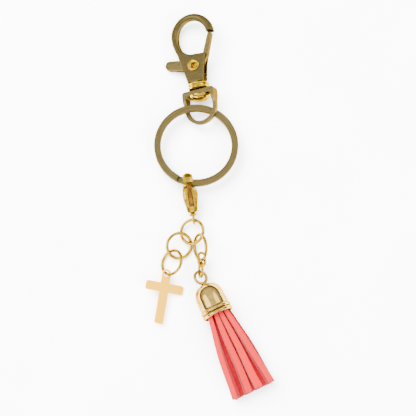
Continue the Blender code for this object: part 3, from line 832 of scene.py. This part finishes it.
class OBJECT_OT_charm_cap(bpy.types.Operator):
    """The tassel's cap and its wire eye."""

    bl_idname = "object.charm_cap"
    bl_label = "Tassel cap"

    def execute(self, context):
        sizes, colours = context.scene.charm_sizes, context.scene.charm_colours
        mirror = polished_plate("cap_mirror_gold_on_plastic", colours, 0.07, "pale", 0.72)
        cap = turned("fine_tassel_cap", self.cap_profile(sizes.cap_rim / MM, sizes.cap_wall / MM), 96)
        settle(cap, TASSEL @ TURNED_TO_Y)
        smooth(cap, 45.0)
        hand_over(cap, mirror, "tassel", "polished", "tassel_cap")

        middle = CAP_LENGTH + EYE_ABOVE
        eye = start(
            "fine_cap_eye",
            bpy.ops.mesh.primitive_torus_add,
            major_radius=sizes.eye_radius,
            minor_radius=sizes.eye_wire,
            major_segments=80,
            minor_segments=20,
        )
        close_up()
        rolled = TASSEL @ Matrix.Rotation(radians(EYE_ROLL), 4, "Y")
        settle(eye, rolled @ Matrix.Translation((0.0, middle * MM, 0.0)))
        stem = turned("stem", self.stem_profile(sizes.eye_wire / MM, middle - sizes.eye_radius / MM), 32)
        settle(stem, TASSEL @ TURNED_TO_Y)
        combine(eye, stem, "UNION")
        smooth(eye, 45.0)
        hand_over(eye, mirror, "tassel", "polished", "cap_eye")
        dress("eye_stop", polished_plate("eye_stop_gold_on_brass", colours, 0.3))
        dress("tassel_core", set_glue("core_hot_melt"))
        return {"FINISHED"}

    def cap_profile(self, rim, wall):
        """Up the outside, over the crown to the eye's hole, and down the lining."""
        profile = [(rim - 0.6, 0.0)]
        for low, high in ((0.0, 1.3), (1.45, 2.7)):
            middle, half = (low + high) / 2.0, (high - low) / 2.0
            for i in range(1, 10):
                angle = pi * i / 10
                profile.append((rim - 0.6 + 0.6 * sin(angle), middle - half * cos(angle)))
            profile.append((rim - 0.72, high + 0.08))
        profile += [(wall - 0.05, 2.95), (wall, 3.2), (wall + 0.02, 5.0)]
        crown, tall = CAP_LENGTH - 4.8, 4.8
        for i in range(1, 22):
            angle = pi / 2.0 * i / 22
            bulge = cos(angle) ** 0.7
            profile.append((wall * bulge, crown + tall * sin(angle)))
        profile += [(0.8, CAP_LENGTH), (0.8, CAP_LENGTH - 0.6)]
        lining = [(2.4, CAP_LENGTH - 0.9), (3.4, CAP_LENGTH - 1.7), (4.1, CAP_LENGTH - 2.9)]
        return profile + lining + [(4.5, CAP_LENGTH - 4.6), (4.5, 3.0), (4.6, 0.4), (rim - 0.6, 0.0)]

    def stem_profile(self, wire, top):
        """The eye's tail, with a small foot where it meets the crown."""
        low = CAP_LENGTH - 1.9
        foot = CAP_LENGTH + 0.02
        return [
            (0.01, low),
            (wire, low),
            (wire, foot),
            (wire + 0.7, foot),
            (wire + 0.6, foot + 0.14),
            (wire + 0.12, foot + 0.26),
            (wire, foot + 0.5),
            (wire, top),
            (0.01, top),
        ]


class OBJECT_OT_charm_strands(bpy.types.Operator):
    """The twelve suede strands, in three rows that fan out of the cap."""

    bl_idname = "object.charm_strands"
    bl_label = "Suede strands"

    def execute(self, context):
        sizes, colours = context.scene.charm_sizes, context.scene.charm_colours
        faces = suede("strand_suede_face", colours.suede_face_light, colours.suede_face_dark)
        # The second suede is painted shade: the same lace, darker and redder, on the sides and ends of
        # every strand and on the faces of the middle row.
        edges = suede("strand_suede_painted_shade", colours.suede_painted_shade_light, colours.suede_painted_shade_dark)
        for row, size in STRAND_ROWS.items():
            for number in range(len(size["places"])):
                name = f"strand_{row}_{number + 1}"
                piece = self.strand(name)
                # The middle row, seen mostly in the gaps between the front strands, takes the painted shade
                # suede on its faces too: painted shade in the gaps.
                piece.data.materials.append(edges if row == "middle" else faces)
                piece.data.materials.append(edges)
                self.sort_faces(piece)
                self.lay(piece, size, number, sizes.strand_length / MM)
                settings = {"width": 0.13 * MM, "segments": 3, "limit_method": "ANGLE"}
                apply(piece, "BEVEL", angle_limit=radians(50.0), use_clamp_overlap=True, **settings)
                settle(piece, TASSEL)
                smooth(piece, 50.0)
                hand_over(piece, None, "tassel", "suede", name)
        return {"FINISHED"}

    def strand(self, name):
        """A bar one unit each way, cut across into stations along its length."""
        piece = start("fine_" + name, bpy.ops.mesh.primitive_cube_add, size=1.0)
        cut_across(piece, 1, STRAND_STATIONS)
        return piece

    def sort_faces(self, piece):
        """The brushed faces take the first material; the slit edges and the cut ends take the second, a
        darker, redder copy of the same lace that paints shade on the strands' sides.
        """
        for face in piece.data.polygons:
            face.material_index = 0 if abs(face.normal.z) > 0.5 else 1

    def lay(self, piece, size, number, reach):
        """Bends the bar from its tucked end, through the cap's mouth, to its cut end."""
        place = size["places"][number]
        bulge, sway, sways, phase, roll_by = 0.1, 0.22, 2.2, 1.7, 1.3
        for corner in piece.data.vertices:
            across, share, through = corner.co.x, 0.5 - corner.co.y, corner.co.z
            along = STRAND_TUCK - (STRAND_TUCK + reach) * share
            fan = max(0.0, -along / reach)
            eased = fan + bulge * sin(pi * fan)
            height, pitch, width, thick = (
                a + (b - a) * eased for a, b in zip(size["mouth"], size["end"])
            )
            wave = sway * sin(sways * pi * fan + phase * number + size["mouth"][0])
            angle = radians(size["rolls"][number]) * min(1.0, roll_by * fan)
            u, v = across * width, through * thick
            corner.co = Vector(
                (
                    place * pitch + wave * fan + u * cos(angle) - v * sin(angle),
                    along,
                    height + u * sin(angle) + v * cos(angle),
                )
            ) * MM


class SCENE_OT_charm_stage(bpy.types.Operator):
    """The pale floor, the soft studio light and the camera."""

    bl_idname = "scene.charm_stage"
    bl_label = "Stage, light and camera"

    # where each panel stands, half its width in degrees, and what it adds to the room
    panels = (
        ((-0.66, -0.20, 0.72), 17.0, 5.0),
        ((0.55, 0.30, 0.78), 14.0, 3.6),
        ((0.05, -0.80, 0.60), 20.0, 1.6),
        ((0.0, 1.0, 0.25), 30.0, -0.2),
    )

    def execute(self, context):
        self.floor()
        self.surroundings(context)
        self.soft_box("key_light", (-0.35, 0.30, 0.75), 0.7, 76.0)
        self.soft_box("fill_light", (0.45, -0.45, 0.70), 0.9, 44.0)
        self.camera(context)
        return {"FINISHED"}

    def floor(self):
        floor = start("floor", bpy.ops.mesh.primitive_plane_add, size=6.0, location=(0.0, 0.0, -0.0001))
        bpy.ops.object.mode_set(mode="OBJECT")
        bpy.ops.object.transform_apply(location=True, rotation=True, scale=True)
        light, dark = linear("#FAFAFC"), linear("#F4F4F7")
        made, tree, shader = new_material("floor_matt_card", 0.85, 0.0, light)
        grain = streaks(tree, node(tree, "ShaderNodeTexCoord", {}).outputs["Object"], (40.0, 40.0, 40.0))
        surface(tree, shader, two_tone(tree, grain, dark, light))
        shader.inputs["Specular IOR Level"].default_value = 0.1
        floor.data.materials.append(made)

    def surroundings(self, context):
        """A bright room, dark along its horizon, with three white panels and a dimmer patch behind:
        the metal mirrors all of it."""
        world = bpy.data.worlds.new("studio")
        context.scene.world = world
        world.use_nodes = True
        tree = world.node_tree
        toward = node(tree, "ShaderNodeTexCoord", {}).outputs["Generated"]
        height = node(tree, "ShaderNodeSeparateXYZ", {}, {"Vector": toward}).outputs["Z"]
        settings = {"From Min": 0.1, "From Max": 0.62, "To Min": 0.14, "To Max": 2.0}
        level = node(tree, "ShaderNodeMapRange", settings, {"Value": height}).outputs["Result"]
        for direction, half, strength in self.panels:
            aim = Vector(direction).normalized()
            facing = node(tree, "ShaderNodeVectorMath", {"operation": "DOT_PRODUCT"}, {0: toward})
            facing.inputs[1].default_value = aim
            settings = {
                "From Min": cos(radians(half + 5.0)),
                "From Max": cos(radians(half)),
                "To Max": strength,
            }
            panel = node(tree, "ShaderNodeMapRange", settings, {"Value": facing.outputs["Value"]})
            sources = {0: level, 1: panel.outputs["Result"]}
            total = node(tree, "ShaderNodeMath", {"operation": "ADD", "use_clamp": False}, sources)
            level = total.outputs[0]
        darkest = 0.06
        level = node(tree, "ShaderNodeMath", {"operation": "MAXIMUM", 1: darkest}, {0: level}).outputs[0]
        tree.links.new(level, tree.nodes["Background"].inputs["Color"])
        tree.nodes["Background"].inputs["Strength"].default_value = 1.0

    def soft_box(self, name, at, size, power):
        """A square lamp that faces the charm, and that the metal doesn't mirror."""
        lamp = bpy.data.lights.new(name, "AREA")
        lamp.shape = "SQUARE"
        lamp.size = size
        lamp.energy = power
        made = bpy.data.objects.new(name, lamp)
        bpy.context.scene.collection.objects.link(made)
        made.location = at
        made.rotation_euler = (-Vector(at)).to_track_quat("-Z", "Y").to_euler()
        made.visible_glossy = False

    def camera(self, context):
        """Almost straight down, from 0.42 m away, with a long lens."""
        target = PLACE * MM + Vector((0.0, 0.0, 0.003))
        tilt, distance = radians(12.5), 0.42
        lens = bpy.data.cameras.new("camera")
        lens.lens = 103.0
        lens.sensor_width = 36.0
        made = bpy.data.objects.new("camera", lens)
        context.scene.collection.objects.link(made)
        made.location = target + distance * Vector((0.0, -sin(tilt), cos(tilt)))
        made.rotation_euler = (tilt, 0.0, 0.0)
        context.scene.camera = made


STEPS = (
    OBJECT_OT_charm_hook,
    OBJECT_OT_charm_swivel,
    OBJECT_OT_charm_key_ring,
    OBJECT_OT_charm_clasp,
    OBJECT_OT_charm_rings,
    OBJECT_OT_charm_links,
    OBJECT_OT_charm_cross,
    OBJECT_OT_charm_cap,
    OBJECT_OT_charm_strands,
    SCENE_OT_charm_stage,
)


class VIEW3D_PT_charm(bpy.types.Panel):
    """Every step of the charm, with its sizes and colours."""

    bl_label = "Bag charm"
    bl_space_type = "VIEW_3D"
    bl_region_type = "UI"
    bl_category = "Bag charm"

    def draw(self, context):
        column = self.layout.column(align=True)
        for step in STEPS:
            column.operator(step.bl_idname)
        for settings in (context.scene.charm_sizes, context.scene.charm_colours):
            box = self.layout.box()
            for name in settings.__annotations__:
                box.prop(settings, name)


CLASSES = (CharmSizes, CharmColours, *STEPS, VIEW3D_PT_charm)


def register():
    for made in CLASSES:
        bpy.utils.register_class(made)
    bpy.types.Scene.charm_sizes = bpy.props.PointerProperty(type=CharmSizes)
    bpy.types.Scene.charm_colours = bpy.props.PointerProperty(type=CharmColours)


def unregister():
    del bpy.types.Scene.charm_colours
    del bpy.types.Scene.charm_sizes
    for made in reversed(CLASSES):
        bpy.utils.unregister_class(made)


def main():
    register()
    bpy.ops.object.charm_hook()
    bpy.ops.object.charm_swivel()
    bpy.ops.object.charm_key_ring()
    bpy.ops.object.charm_clasp()
    bpy.ops.object.charm_rings()
    bpy.ops.object.charm_links()
    bpy.ops.object.charm_cross()
    bpy.ops.object.charm_cap()
    bpy.ops.object.charm_strands()
    bpy.ops.scene.charm_stage()


if __name__ == "__main__":
    main()
